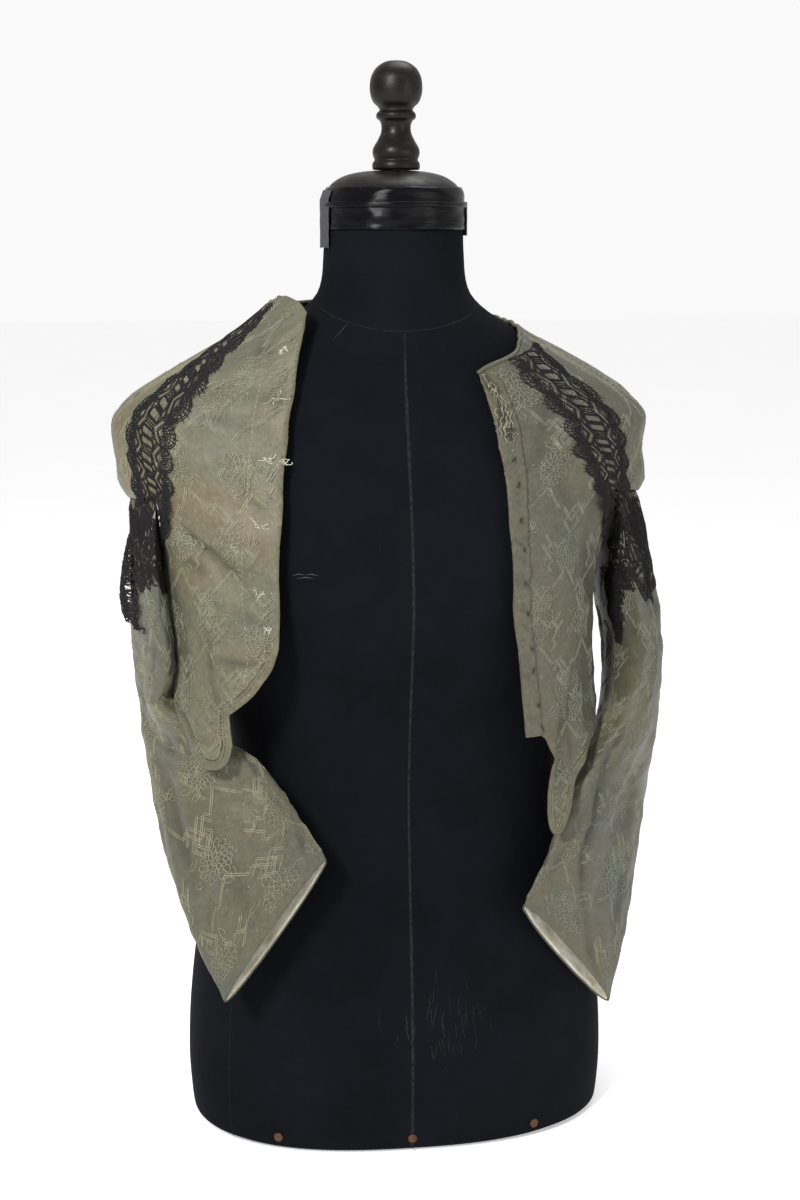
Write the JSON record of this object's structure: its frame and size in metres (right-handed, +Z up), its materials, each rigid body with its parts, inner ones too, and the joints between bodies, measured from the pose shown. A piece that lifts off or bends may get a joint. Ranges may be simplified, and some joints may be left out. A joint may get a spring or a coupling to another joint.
{
  "type": "embroidered silk jacket on a limbless dress form",
  "caption": "Short open-front silk jacket with black lace over the shoulders and draped empty sleeves, worn on a black limbless dress form with a turned knob.",
  "frame": {"origin": "middle of the dress form's flat base, on the neck's axis", "axes": "+Z up along the neck's axis, the wearer faces -Y, the wearer's left side is at +X"},
  "size_m": [0.4334, 0.2532, 0.833],
  "materials": {
    "silk": "sage-olive silk damask with a soft sheen and woven flower and fret figures",
    "lace": "black bobbin lace with ribbed scalloped edges",
    "facing": "pale satin facing, worn",
    "jersey": "black stretched jersey, slightly faded and scuffed",
    "wood": "turned wood, dark brown-black varnish",
    "tape": "wrinkled glossy black tape",
    "patch": "matt grey cloth tape",
    "tack": "rusted tack head"
  },
  "bodies": {
    "root": {"front_right": "silk", "front_left": "silk", "cap_right": "silk", "cap_left": "silk", "back": "silk", "sleeve_right": "silk", "sleeve_left": "silk", "front_placket_left": "silk", "neck_binding": "silk", "lace_arm_right": "lace", "lace_arm_left": "lace", "lace_yoke_right": "lace", "lace_yoke_left": "lace", "lace_tuft_right": "lace", "lace_drop_left": "lace", "cuff_facing_right": "facing", "cuff_facing_left": "facing", "form_torso": "jersey", "form_cap": "wood", "form_knob": "wood", "form_tape": "tape", "form_patch_right": "patch", "form_patch_left": "patch", "form_tack_1": "tack", "form_tack_2": "tack", "form_tack_3": "tack"}
  },
  "joints": []
}
